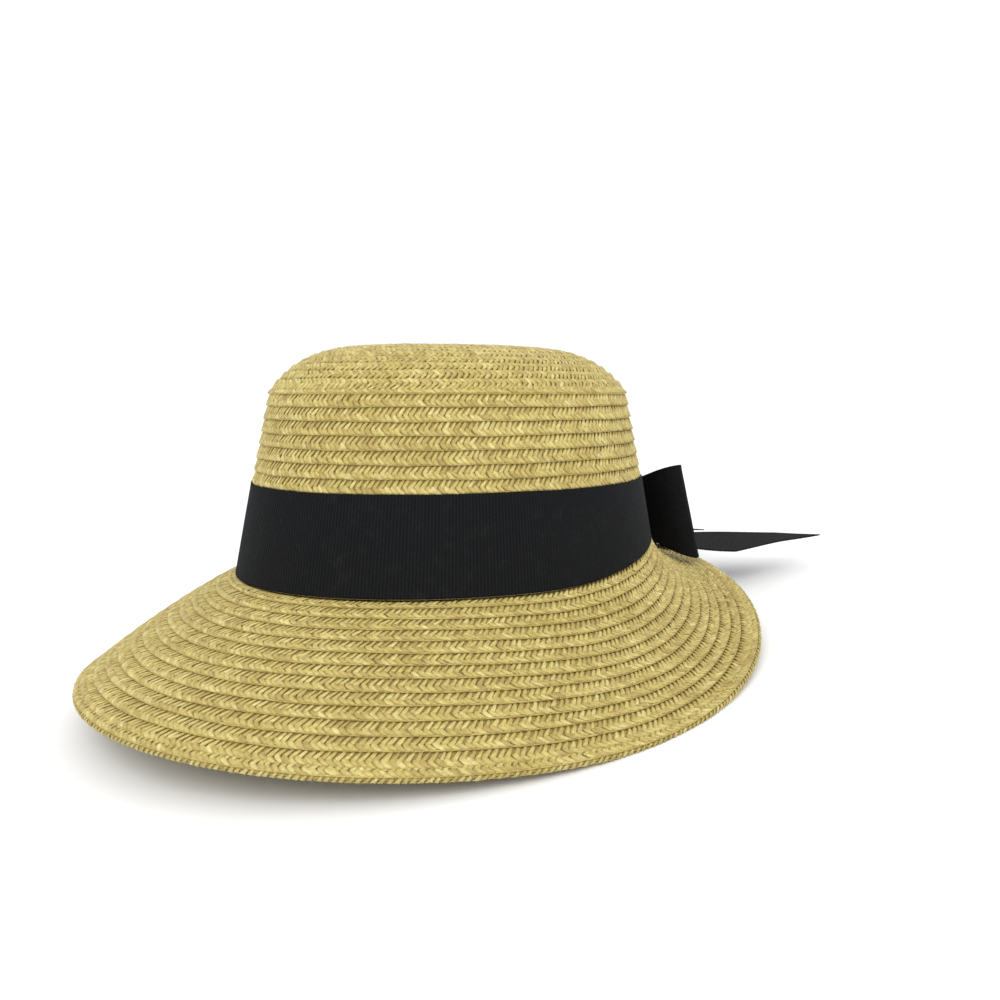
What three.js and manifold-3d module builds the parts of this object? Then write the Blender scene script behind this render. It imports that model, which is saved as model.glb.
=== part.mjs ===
// Braided straw sun hat with a grosgrain band and a flat bow at the back.
// Millimetres, +Z up. The front of the brim points along -Y, the bow along +Y.
//
// The hat is drawn in the crown's own frame: the crown stands upright on the plane z = 0,
// with the origin at the centre of the oval where its front half meets the brim. The
// finished hat then leans back a little, the way it stands on a table on the two
// drooping sides of its brim.
import * as THREE from "three";
import { mergeVertices } from "three/addons/utils/BufferGeometryUtils.js";
import Module from "manifold-3d";

const wasm = await Module();
wasm.setup();

// ---- driving dimensions -------------------------------------------------------------
const STEPS = 72; // steps round the hat
const WALL_ROWS = 6; // rings of points up a piece that lies on the crown wall
const GAP = 0.3; // clearance between pieces that touch
const STRAW = 2.2; // thickness of the overlapped braid
const RIBBON = 0.7; // thickness of the grosgrain ribbon
const EGG = 0.086; // how much wider the oval is at the back than at the front

const OPENING = { a: 89.1, b: 100.5 }; // half width and half length at the head opening
const BAND_TOP = { z: 39.7, a: 82.5, b: 92.9 }; // the same where the band ends
const SHOULDER = { z: 79.6, a: 75.0, b: 84.8 }; // and at the seam under the shoulder
const CROWN_SHIFT = 1.2; // how far the shoulder oval sits behind the opening's centre
const TIP_RISE = 19.5; // height of the tip above the shoulder seam
const TIP_POWER = 5; // roundness of the shoulder: higher is squarer
const BUTTON_WIDTH = 7; // half width of the oval start of the spiral

// The brim at four stations round the hat: front, front side, back side, back.
const BRIM_WIDTH = [78.8, 78, 63.9, 40.1]; // along the straw, crown to edge
const BRIM_START = [29.9, 29.4, 67.2, 65.7]; // fall below level at the crown, degrees
const BRIM_END = [32.4, 38.9, -8.1, -6.8]; // fall below level at the edge, degrees

// The crown's foot is level in front and climbs behind the ears, between two turns in
// degrees from the front, so the head opening is higher at the nape.
const NAPE = { rise: 14, from: 77, to: 160 };

const EDGE = { width: 5.5, half: 1.4, leaf: 0.6, fold: 2.1 }; // doubled last course
const WIRE_RADIUS = 0.5;
const SWEATBAND = { low: 1.5, high: 30, thickness: 0.8 }; // heights above the foot
const LABELS = {
  size_label: { middle: Math.PI, half: 13, low: 6, high: 18 },
  care_label: { middle: Math.PI - 0.42, half: 9, low: 4, high: 27 },
}; // sewn to the sweatband behind the head
const LABEL_THICKNESS = 0.5;
const BAND_LOW = 0.4; // the band's lower edge above the foot
const LAP = { half: 8, inset: 0.2 }; // the band's end, lapped over itself under the bow

const LEAN = 6.6; // degrees the hat leans back as it stands
const FOOT = 1.1; // how much of the brim's two low sides is pressed flat

const KNOT = { half: 7, back: 100.8, depth: 12.6, low: 9.5, high: 36, round: 4 };
const LOOP_OUTLINE = [
  [7.4, 105.6], [21, 102.2], [39, 99.6], [53, 101.2], [58.5, 106.8],
  [53.5, 112.6], [38.5, 115], [21, 113], [7.4, 110],
]; // plan of one bow loop, seen from above
const LOOP_FLARE = 0.33; // how far the loop's lower edge runs out past its upper edge
const LOOP_EVEN = 24; // height at which the loop keeps its plan
const LOOP_FULL = 75; // the loop opens from the knot towards this distance out
const LOOP_EDGES = { knot: [13, 29], end: [-7.1, 44.3] }; // lower and upper edge there
const TAIL_CUT = 0.58; // slant of the cut end, as a share of the tail's length
const TAILS = {
  tail_left: { root: [9.7, 115.8, 0.4], end: [74.8, 168.8, -1.4], long: -1, sag: 1.6, roll: 5.7 },
  tail_right: { root: [-5.7, 115, 2], end: [-26.5, 196, -8], long: 1, sag: 0, roll: 0 },
}; // long is the side of the longer edge; a positive roll turns the right edge down
const TAIL_HALF = { root: 5, end: 19 };
const TAIL_FAN = 1.6; // how soon a tail is at its full width
const TAIL_THICKNESS = 0.8;

const STRAW_LOOK = { color: 0xcdbe73, roughness: 0.75, metalness: 0 };
const RIBBON_LOOK = { color: 0x17181a, roughness: 0.85, metalness: 0 };
const SWEAT_LOOK = { color: 0x1c1d20, roughness: 0.9, metalness: 0 };
const LABEL_LOOK = { color: 0xe9e6dc, roughness: 0.8, metalness: 0 };
const WIRE_LOOK = { color: 0x9a9da1, roughness: 0.35, metalness: 1 };

// ---- solids -------------------------------------------------------------------------
const { degToRad, radToDeg, lerp, smoothstep } = THREE.MathUtils;
const hat = new THREE.Group();

function volumeOf(points, index) {
  const corner = (k) => new THREE.Vector3(...points[index[k]]);
  let six = 0;
  for (let k = 0; k < index.length; k += 3)
    six += corner(k).dot(corner(k + 1).cross(corner(k + 2)));
  return six / 6;
}

function bodyOf(points, index) {
  if (volumeOf(points, index) < 0) index.reverse();
  const geometry = new THREE.BufferGeometry();
  geometry.setAttribute("position", new THREE.Float32BufferAttribute(points.flat(), 3));
  geometry.setIndex(index);
  return geometry;
}

// A closed body between two grids of points of the same size. When it is closed, each
// row runs all the way round and joins itself.
function slab(outside, inside, closed) {
  const rows = outside.length;
  const columns = outside[0].length;
  const points = [...outside.flat(), ...inside.flat()];
  const at = (side, i, j) => (side * rows + i) * columns + (j % columns);
  const index = [];
  const quad = (p, q, r, s) => index.push(p, q, r, p, r, s);
  const bottom = rows - 1;
  const last = closed ? columns : columns - 1;
  for (let j = 0; j < last; j++) {
    for (let i = 0; i < rows - 1; i++) {
      quad(at(0, i, j), at(0, i + 1, j), at(0, i + 1, j + 1), at(0, i, j + 1));
      quad(at(1, i, j), at(1, i, j + 1), at(1, i + 1, j + 1), at(1, i + 1, j));
    }
    quad(at(0, 0, j), at(0, 0, j + 1), at(1, 0, j + 1), at(1, 0, j));
    quad(at(0, bottom, j), at(1, bottom, j), at(1, bottom, j + 1), at(0, bottom, j + 1));
  }
  if (!closed)
    for (let i = 0; i < rows - 1; i++) {
      quad(at(0, i, 0), at(1, i, 0), at(1, i + 1, 0), at(0, i + 1, 0));
      quad(at(0, i, last), at(0, i + 1, last), at(1, i + 1, last), at(1, i, last));
    }
  return bodyOf(points, index);
}

// A closed section carried all the way round the hat: corners[j] is the section at step j.
function hoop(corners) {
  const sides = corners[0].length;
  const index = [];
  corners.forEach((_, j) => {
    const next = (j + 1) % corners.length;
    for (let i = 0; i < sides; i++) {
      const k = (i + 1) % sides;
      const [p, q, r, s] = [j * sides + i, j * sides + k, next * sides + k, next * sides + i];
      index.push(p, q, r, p, r, s);
    }
  });
  return bodyOf(corners.flat(), index);
}

function solidOf(geometry) {
  const bare = geometry.clone().deleteAttribute("normal").deleteAttribute("uv");
  const merged = mergeVertices(bare, 1e-4);
  const vertProperties = new Float32Array(merged.attributes.position.array);
  const triVerts = new Uint32Array(merged.index.array);
  return new wasm.Manifold(new wasm.Mesh({ numProp: 3, vertProperties, triVerts }));
}

function geometryOf(solid) {
  const mesh = solid.getMesh();
  const geometry = new THREE.BufferGeometry();
  geometry.setAttribute("position", new THREE.BufferAttribute(mesh.vertProperties, 3));
  geometry.setIndex(new THREE.BufferAttribute(mesh.triVerts, 1));
  return geometry;
}

function add(name, geometry, look) {
  const mesh = new THREE.Mesh(geometry, new THREE.MeshStandardMaterial(look));
  mesh.name = name;
  hat.add(mesh);
}

// ---- the hat's form -----------------------------------------------------------------
const turns = Array.from({ length: STEPS }, (_, j) => (j * 2 * Math.PI) / STEPS);
const levels = (low, high, count) =>
  Array.from({ length: count }, (_, i) => lerp(low, high, i / (count - 1)));

// A point on an oval. The turn is 0 at the front and a quarter on the wearer's left.
function oval(a, b, shift, turn) {
  return [a * Math.sin(turn) * (1 - EGG * Math.cos(turn)), shift - b * Math.cos(turn)];
}

// The crown wall's half width and half length, a smooth curve through three heights.
function wallSize(key, z) {
  const first = (BAND_TOP[key] - OPENING[key]) / BAND_TOP.z;
  const second = (SHOULDER[key] - BAND_TOP[key]) / (SHOULDER.z - BAND_TOP.z);
  const bend = (second - first) / SHOULDER.z;
  return OPENING[key] + first * z + bend * z * (z - BAND_TOP.z);
}

// A point on the crown wall at a height, moved out (or in, if negative) from the straw.
function wall(z, out, turn) {
  const shift = (CROWN_SHIFT * z) / SHOULDER.z;
  const [x, y] = oval(wallSize("a", z) + out, wallSize("b", z) + out, shift, turn);
  return [x, y, z];
}

// How far the crown's foot has climbed above the level of the front at a turn.
function climb(turn) {
  const fromFront = radToDeg(Math.PI - Math.abs(Math.PI - turn));
  return NAPE.rise * smoothstep(fromFront, NAPE.from, NAPE.to);
}

// The line where the wall meets the brim, and its outward direction in plan.
const foot = (turn) => wall(climb(turn), 0, turn);
function outward(turn) {
  const e = 1e-3;
  const [x0, y0] = foot(turn - e);
  const [x1, y1] = foot(turn + e);
  return new THREE.Vector2(y1 - y0, x0 - x1).normalize();
}

// A piece that lies on the wall, between two turns or all the way round. Its edges are
// heights that may change with the turn; inside and outside are distances off the straw.
const level = (height) => () => height;
const above = (height) => (turn) => climb(turn) + height;
function wallPiece([low, high], [outside, inside], over = turns, closed = true) {
  const rows = levels(0, 1, WALL_ROWS);
  const height = (share, turn) => lerp(low(turn), high(turn), share);
  const sheet = (out) =>
    rows.map((share) => over.map((turn) => wall(height(share, turn), out, turn)));
  return slab(sheet(outside), sheet(inside), closed);
}

// A point on the tip, a distance in from the shoulder seam.
function tip(inset, drop, turn) {
  const share = 1 - inset / SHOULDER.a;
  const a = SHOULDER.a - inset;
  const b = SHOULDER.b - inset;
  const [x, y] = oval(a, b, CROWN_SHIFT, turn);
  return [x, y, SHOULDER.z + TIP_RISE * (1 - share ** TIP_POWER) - drop];
}

// A smooth even curve round the hat through its values at the four stations.
function around(values, turn) {
  const [front, side, rear, back] = values;
  const c0 = (front + 2 * side + 2 * rear + back) / 6;
  const c1 = (front + side - rear - back) / 3;
  const c2 = (front - side - rear + back) / 3;
  const c3 = (front - 2 * side + 2 * rear - back) / 6;
  return c0 + c1 * Math.cos(turn) + c2 * Math.cos(2 * turn) + c3 * Math.cos(3 * turn);
}

// A point on the brim: a distance down the straw from the crown, and a height off its
// upper face. The fall turns evenly from its start to its end.
function brim(down, off, turn) {
  const width = around(BRIM_WIDTH, turn);
  const start = degToRad(around(BRIM_START, turn));
  const bend = (degToRad(around(BRIM_END, turn)) - start) / width;
  const fall = start + bend * down;
  const steep = Math.abs(bend) < 1e-6 ? 1e-6 : bend;
  const run = (Math.sin(start + steep * down) - Math.sin(start)) / steep;
  const sink = (Math.cos(start) - Math.cos(start + steep * down)) / steep;
  const out = run + off * Math.sin(fall);
  const [x, y, z] = foot(turn);
  const direction = outward(turn);
  return [x + direction.x * out, y + direction.y * out, z - sink + off * Math.cos(fall)];
}

// ---- straw --------------------------------------------------------------------------
function crownTip() {
  const insets = [0.15, 2, 5, 9, 14, 21, 30, 42, 55, SHOULDER.a - BUTTON_WIDTH];
  const shell = (extra, drop) =>
    insets.map((inset, i) =>
      turns.map((turn) => {
        const rim = Math.max(0, 1 - i / 5) * extra;
        return tip(inset + rim, drop * Math.min(1, i / 4), turn);
      }),
    );
  return slab(shell(0, 0), shell(STRAW, STRAW), true);
}

function tipButton() {
  const a = BUTTON_WIDTH - GAP;
  const b = SHOULDER.b - SHOULDER.a + BUTTON_WIDTH - GAP;
  const top = tip(SHOULDER.a - BUTTON_WIDTH, 0, 0)[2];
  return new THREE.CylinderGeometry(0.92, 1, STRAW, 24)
    .rotateX(Math.PI / 2)
    .scale(a * (1 - EGG), b, 1)
    .translate(0, CROWN_SHIFT, top - STRAW / 2 + 0.2);
}

function brimShell() {
  const shares = levels(0, 1, 9);
  const sheet = (off) =>
    shares.map((share) =>
      turns.map((turn) => {
        const last = around(BRIM_WIDTH, turn) - EDGE.width - GAP;
        return brim(lerp(GAP, last, share), off, turn);
      }),
    );
  return slab(sheet(0), sheet(-STRAW), true);
}

// A section drawn in the brim's edge: u runs out along the straw from the last seam, v
// stands off the middle of the straw's thickness.
function edgeHoop(section) {
  return hoop(
    turns.map((turn) => {
      const seam = around(BRIM_WIDTH, turn) - EDGE.width;
      return section.map(([u, v]) => brim(seam + u, v - STRAW / 2, turn));
    }),
  );
}

// The last course is folded in two over a wire, so its section is a C open to the brim.
function brimEdge() {
  const { width, half, leaf, fold } = EDGE;
  const corner = 0.6;
  return edgeHoop([
    [0, half],
    [width - corner, half],
    [width, half - corner],
    [width, corner - half],
    [width - corner, -half],
    [0, -half],
    [0, leaf - half],
    [width - fold, leaf - half],
    [width - fold, half - leaf],
    [0, half - leaf],
  ]);
}

function edgeWire() {
  const centre = EDGE.width - EDGE.fold - GAP - WIRE_RADIUS;
  const section = Array.from({ length: 6 }, (_, i) => {
    const angle = (i * Math.PI) / 3;
    return [centre + WIRE_RADIUS * Math.cos(angle), WIRE_RADIUS * Math.sin(angle)];
  });
  return edgeHoop(section);
}

// ---- ribbon and bow -----------------------------------------------------------------
const over = (middle, halfWidth, count) =>
  levels(-1, 1, count).map((t) => middle + (t * halfWidth) / SHOULDER.b);

function knotOutline(inset) {
  const { back, depth, low, high, round } = KNOT;
  const [y0, y1, z0, z1] = [back + inset, back + depth - inset, low + inset, high - inset];
  const r = round - inset;
  const shape = new THREE.Shape();
  shape.absarc(y1 - r, z0 + r, r, -Math.PI / 2, 0);
  shape.absarc(y1 - r, z1 - r, r, 0, Math.PI / 2);
  shape.absarc(y0 + r, z1 - r, r, Math.PI / 2, Math.PI);
  shape.absarc(y0 + r, z0 + r, r, Math.PI, (3 * Math.PI) / 2);
  return shape;
}

// The knot's outline is drawn looking along X and pushed out across the bow.
function across(shape, half) {
  const options = { depth: 2 * half, bevelEnabled: false, curveSegments: 4 };
  return new THREE.ExtrudeGeometry(shape, options)
    .translate(0, 0, -half)
    .applyMatrix4(new THREE.Matrix4().set(0, 0, 1, 0, 1, 0, 0, 0, 0, 1, 0, 0, 0, 0, 0, 1));
}

function bowWrap() {
  const ring = knotOutline(0);
  ring.holes.push(knotOutline(RIBBON));
  return across(ring, KNOT.half);
}

function bowCore() {
  return across(knotOutline(RIBBON + GAP), KNOT.half - GAP);
}

// One loop of the bow: a strip on edge, pinched at the knot and flaring outwards.
function bowLoop(side) {
  const outline = new THREE.CatmullRomCurve3(
    LOOP_OUTLINE.map(([x, y]) => new THREE.Vector3(x, y, 0)),
    true,
    "centripetal",
  );
  const count = 32;
  const plan = outline.getSpacedPoints(count).slice(0, count);
  const middle = new THREE.Vector3(40, 107.4, 0);
  const rows = 4;
  const sheet = (inset) =>
    levels(0, 1, rows).map((t) =>
      plan.map((p, j) => {
        const along = plan[(j + 1) % count].clone().sub(plan[(j + count - 1) % count]);
        const inward = new THREE.Vector3(-along.y, along.x, 0).normalize();
        if (inward.dot(middle.clone().sub(p)) < 0) inward.negate();
        const q = p.clone().addScaledVector(inward, inset);
        const spread = smoothstep(q.x, KNOT.half, LOOP_FULL);
        const [low, high] = LOOP_EDGES.knot.map((z, k) => lerp(z, LOOP_EDGES.end[k], spread));
        const z = lerp(low, high, t);
        const flare = LOOP_FLARE * spread * (LOOP_EVEN - z);
        return [side * (q.x + flare), q.y, z];
      }),
    );
  return slab(sheet(0), sheet(RIBBON), true);
}

// A tail fans out from the knot to a slanted end.
function bowTail({ root, end, long, sag, roll }) {
  const start = new THREE.Vector3(...root);
  const along = new THREE.Vector3(...end).sub(start);
  const aside = new THREE.Vector3(along.y, -along.x, 0).normalize();
  aside.applyAxisAngle(along.clone().normalize(), degToRad(roll));
  const up = new THREE.Vector3().crossVectors(aside, along).normalize();
  if (up.z < 0) up.negate();
  const sheet = (off) =>
    levels(0, 1, 10).map((t) =>
      levels(-1, 1, 5).map((w) => {
        const reach = t * (1 + (w * long * TAIL_CUT) / 2);
        const half = lerp(TAIL_HALF.root, TAIL_HALF.end, Math.min(1, t * TAIL_FAN));
        const dip = sag * Math.sin(Math.PI * Math.min(1, reach));
        return start
          .clone()
          .addScaledVector(along, reach)
          .addScaledVector(aside, w * half)
          .addScaledVector(up, off - dip)
          .toArray();
      }),
    );
  return slab(sheet(TAIL_THICKNESS / 2), sheet(-TAIL_THICKNESS / 2), false);
}

// ---- assembly -----------------------------------------------------------------------
const inner = -STRAW - GAP; // the clear face inside the crown wall
const lining = inner - SWEATBAND.thickness;
const ribbonFace = GAP + RIBBON;

add("crown_tip", crownTip(), STRAW_LOOK);
add("tip_button", tipButton(), STRAW_LOOK);
const side = [above(0), level(SHOULDER.z - GAP)];
add("crown_side", wallPiece(side, [0, -STRAW]), STRAW_LOOK);
add("brim", brimShell(), STRAW_LOOK);
add("brim_edge", brimEdge(), STRAW_LOOK);
add("edge_wire", edgeWire(), WIRE_LOOK);
const sweatEdges = [above(SWEATBAND.low), above(SWEATBAND.high)];
add("sweatband", wallPiece(sweatEdges, [inner, lining]), SWEAT_LOOK);
for (const [name, { middle, half, low, high }] of Object.entries(LABELS)) {
  const faces = [lining - GAP, lining - GAP - LABEL_THICKNESS];
  const edges = [above(low), above(high)];
  add(name, wallPiece(edges, faces, over(middle, half, 7), false), LABEL_LOOK);
}
const bandEdges = [above(BAND_LOW), level(BAND_TOP.z)];
add("band_ribbon", wallPiece(bandEdges, [ribbonFace, GAP]), RIBBON_LOOK);
const lapEdges = [above(BAND_LOW + LAP.inset), level(BAND_TOP.z - LAP.inset)];
const lapFaces = [ribbonFace + GAP + RIBBON, ribbonFace + GAP];
const lapTurns = over(Math.PI, LAP.half, 5);
add("band_lap", wallPiece(lapEdges, lapFaces, lapTurns, false), RIBBON_LOOK);
add("bow_core", bowCore(), RIBBON_LOOK);
add("bow_wrap", bowWrap(), RIBBON_LOOK);
add("bow_loop_left", bowLoop(1), RIBBON_LOOK);
add("bow_loop_right", bowLoop(-1), RIBBON_LOOK);
for (const [name, tail] of Object.entries(TAILS)) add(name, bowTail(tail), RIBBON_LOOK);

// The hat leans back, and stands with its two low sides pressed flat on z = 0. The
// origin is under the middle of its box.
const lean = new THREE.Matrix4().makeRotationX(-degToRad(LEAN));
for (const mesh of hat.children) mesh.geometry.applyMatrix4(lean);
const box = new THREE.Box3().setFromObject(hat);
const middle = box.getCenter(new THREE.Vector3());
const ground = box.min.z + FOOT;
const size = box.getSize(new THREE.Vector3()).length();
const floor = new THREE.BoxGeometry(size, size, size).translate(0, 0, ground - size / 2);
const edge = hat.getObjectByName("brim_edge");
edge.geometry = geometryOf(solidOf(edge.geometry).subtract(solidOf(floor)));
for (const mesh of hat.children) mesh.geometry.translate(-middle.x, -middle.y, -ground);

export default hat;
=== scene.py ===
"""Straw sun hat: sewn rows of plaited straw, a grosgrain band and a flat bow at the back.

The form is worked in the crown's own frame, in millimetres: the crown stands upright on
height 0 and the front of the brim points along -Y. stand() sets it down on the frame, in metres.
"""
import math

import bpy
import numpy as np
from mathutils import Matrix, Vector


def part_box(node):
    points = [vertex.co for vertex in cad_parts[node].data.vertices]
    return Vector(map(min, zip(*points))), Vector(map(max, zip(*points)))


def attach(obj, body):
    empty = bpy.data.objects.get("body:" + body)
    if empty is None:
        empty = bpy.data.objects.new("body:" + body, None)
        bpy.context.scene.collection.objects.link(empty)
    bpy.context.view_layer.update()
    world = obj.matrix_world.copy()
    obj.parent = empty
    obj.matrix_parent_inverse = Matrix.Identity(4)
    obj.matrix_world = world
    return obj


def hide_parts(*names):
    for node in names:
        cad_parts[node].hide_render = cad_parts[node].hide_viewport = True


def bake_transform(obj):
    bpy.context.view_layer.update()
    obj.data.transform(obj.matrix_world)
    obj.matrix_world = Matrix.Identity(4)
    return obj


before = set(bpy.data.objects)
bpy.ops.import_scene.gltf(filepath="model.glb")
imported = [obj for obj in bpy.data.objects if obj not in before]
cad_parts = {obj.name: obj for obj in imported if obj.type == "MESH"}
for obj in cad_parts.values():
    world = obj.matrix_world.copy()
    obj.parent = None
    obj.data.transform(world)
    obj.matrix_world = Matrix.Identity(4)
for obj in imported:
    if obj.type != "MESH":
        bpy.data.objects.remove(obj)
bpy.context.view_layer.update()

MM = 0.001
FULL = 2 * math.pi

# ---- the hat's form, in millimetres ---------------------------------------------------
EGG = 0.086                        # wider at the back than at the front
OPENING = (89.1, 100.5)            # half width and half length of the head opening
BAND_TOP, BAND_TOP_HEIGHT = (82.5, 92.9), 39.7
SHOULDER, SHOULDER_HEIGHT = (75.0, 84.8), 79.6
CROWN_SHIFT = 1.2
TIP_RISE, TIP_POWER = 19.5, 5
BRIM_WIDTH = (78.8, 78, 63.9, 40.1)     # at the front, front side, back side and back
BRIM_START = (29.9, 29.4, 67.2, 65.7)   # fall at the crown, degrees
BRIM_END = (32.4, 38.9, -8.1, -6.8)     # fall at the edge, degrees
NAPE_RISE, NAPE_FROM, NAPE_TO = 14, 77, 160  # the crown's foot climbs behind the ears
BAND_LOW = 0.4                     # the band's lower edge above the foot
LEAN = math.radians(6.6)           # how far the hat leans back as it stands
ROW = 5.75                         # how much of one row of plait shows
ROW_RISE = 0.95                    # how far a row's free edge stands off the row below
PLAIT = 1.05                       # thickness of the flat plait
SEAT = -0.9                        # where a row's tucked edge lies, off the hat's form
GAP, RIBBON = 0.3, 0.7             # clearance between pieces, thickness of the ribbon


def oval(a, b, shift, turn):
    return a * np.sin(turn) * (1 - EGG * np.cos(turn)), shift - b * np.cos(turn)


def spot(x, y, z):
    return np.stack(np.broadcast_arrays(x, y, z), axis=-1).astype(float)


def wall_size(k, z):
    first = (BAND_TOP[k] - OPENING[k]) / BAND_TOP_HEIGHT
    second = (SHOULDER[k] - BAND_TOP[k]) / (SHOULDER_HEIGHT - BAND_TOP_HEIGHT)
    bend = (second - first) / SHOULDER_HEIGHT
    return OPENING[k] + first * z + bend * z * (z - BAND_TOP_HEIGHT)


def wall(z, turn, out=0.0):
    """The crown's side at a height."""
    shift = CROWN_SHIFT * z / SHOULDER_HEIGHT
    x, y = oval(wall_size(0, z) + out, wall_size(1, z) + out, shift, turn)
    return spot(x, y, z)


def climb(turn):
    """How far the crown's foot stands above the level of the front."""
    from_front = np.degrees(math.pi - np.abs(math.pi - np.mod(turn, FULL)))
    return NAPE_RISE * smooth(from_front, NAPE_FROM, NAPE_TO)


def smooth(v, low, high):
    v = np.clip((v - low) / (high - low), 0, 1)
    return v * v * (3 - 2 * v)


def lerp(a, b, t):
    return a + (b - a) * t


def level(height):
    return lambda turn: height + 0 * turn


def foot(turn):
    """The line where the crown's side meets the brim."""
    return wall(climb(turn), turn)


def tip(inset, turn):
    """The flat top, a distance in from the shoulder seam."""
    share = np.clip(1 - inset / SHOULDER[0], 0, 2)
    x, y = oval(SHOULDER[0] - inset, SHOULDER[1] - inset, CROWN_SHIFT, turn)
    return spot(x, y, SHOULDER_HEIGHT + TIP_RISE * (1 - share ** TIP_POWER))


def around(values, turn):
    """A smooth even curve round the hat through four stations."""
    front, side, rear, back = values
    return (
        (front + 2 * side + 2 * rear + back) / 6
        + (front + side - rear - back) / 3 * np.cos(turn)
        + (front - side - rear + back) / 3 * np.cos(2 * turn)
        + (front - 2 * side + 2 * rear - back) / 6 * np.cos(3 * turn)
    )


def brim(down, turn):
    """The brim, a distance down the straw from the crown."""
    width = around(BRIM_WIDTH, turn)
    start = np.radians(around(BRIM_START, turn))
    bend = (np.radians(around(BRIM_END, turn)) - start) / width
    bend = np.where(np.abs(bend) < 1e-6, 1e-6, bend)
    fall = start + bend * down
    run = (np.sin(fall) - np.sin(start)) / bend
    sink = (np.cos(start) - np.cos(fall)) / bend
    x, y, z = np.moveaxis(foot(turn), -1, 0)
    step = 1e-3
    dx, dy, _ = np.moveaxis(foot(turn + step) - foot(turn - step), -1, 0)
    size = np.hypot(dx, dy)
    return spot(x + run * dy / size, y - run * dx / size, z - sink)


EDGE_WIDTH, EDGE_HALF, STRAW_THICK = 5.5, 1.4, 2.2  # the doubled last course


def rim(reach, turn):
    """The brim's folded last course: out along its top, round the fold and back below."""
    reach, turn = np.broadcast_arrays(np.asarray(reach, float), turn)
    flat = EDGE_WIDTH - EDGE_HALF
    bend = np.clip((reach - flat) / EDGE_HALF, 0, math.pi)
    out = np.minimum(reach, flat) + EDGE_HALF * np.sin(bend)
    out = out - np.maximum(reach - flat - math.pi * EDGE_HALF, 0)
    down = around(BRIM_WIDTH, turn) - EDGE_WIDTH + out
    point, normal = face_of(brim, down, turn)
    return point + normal * (EDGE_HALF * np.cos(bend) - STRAW_THICK / 2)[..., None]


def unit(v):
    return v / np.maximum(np.linalg.norm(v, axis=-1, keepdims=True), 1e-12)


def face_of(form, level, turn):
    """Points of a form and the directions square to it, pointing out of the hat."""
    e, t = 0.05, 1e-3
    up = form(level + e, turn) - form(level - e, turn)
    along = form(level, turn + t) - form(level, turn - t)
    normal = unit(np.cross(along, up))
    return form(level, turn), -normal if form in (brim, rim) else normal


TILT = np.array([
    [1, 0, 0],
    [0, math.cos(LEAN), math.sin(LEAN)],
    [0, -math.sin(LEAN), math.cos(LEAN)],
])


def frame_shift():
    """Where the crown's frame sits in the part, from the place of its band."""
    turn = np.arange(72) * FULL / 72
    low = climb(turn) + BAND_LOW
    rows = [wall(low + (BAND_TOP_HEIGHT - low) * k / 5, turn, GAP + RIBBON) for k in range(6)]
    ring = np.concatenate(rows) @ TILT.T * MM
    low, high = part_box("band_ribbon")
    return (np.array(low) + np.array(high) - ring.min(0) - ring.max(0)) / 2


SHIFT = frame_shift()


def stand(points):
    """Sets points down on the frame. What would sink into the table is pressed flat."""
    placed = np.asarray(points, float) @ TILT.T * MM + SHIFT
    placed[:, 2] = np.maximum(placed[:, 2], 0.0003 + 0.02 * placed[:, 2])
    return placed


# ---- the camera -----------------------------------------------------------------------
def set_camera():
    """Stands in front of the wearer's left side, its own up along the crown's."""
    azimuth, elevation, away = math.radians(48.5), math.radians(6.74), 454.7
    look = np.array([-0.06, 33.1, 25.1])
    back = np.array([
        math.sin(azimuth) * math.cos(elevation),
        -math.cos(azimuth) * math.cos(elevation),
        math.sin(elevation),
    ])
    right = np.array([math.cos(azimuth), math.sin(azimuth), 0])
    up = np.cross(back, right)
    data = bpy.data.cameras.new("camera")
    data.sensor_width, data.lens = 36, 32.66
    data.clip_start, data.clip_end = 0.01, 20
    camera = bpy.data.objects.new("camera", data)
    bpy.context.scene.collection.objects.link(camera)
    turned = (TILT @ np.stack([right, up, back], axis=1)).tolist()
    place = Matrix(turned).to_4x4()
    place.translation = Vector(stand([look + back * away])[0])
    camera.matrix_world = place
    bpy.context.scene.camera = camera


set_camera()


# ---- working by hand ------------------------------------------------------------------
def start_clean():
    if bpy.context.object and bpy.context.object.mode != "OBJECT":
        bpy.ops.object.mode_set(mode="OBJECT")
    bpy.ops.object.select_all(action="DESELECT")


def pick(obj, test):
    """In edit mode, selects the points whose place passes the test."""
    bpy.ops.object.mode_set(mode="OBJECT")
    mesh = obj.data
    mesh.polygons.foreach_set("select", [False] * len(mesh.polygons))
    mesh.edges.foreach_set("select", [False] * len(mesh.edges))
    mesh.vertices.foreach_set("select", [False] * len(mesh.vertices))
    for v in mesh.vertices:
        v.select = bool(test(v.co))
    bpy.ops.object.mode_set(mode="EDIT")
    bpy.ops.mesh.select_mode(type="VERT")


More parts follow.
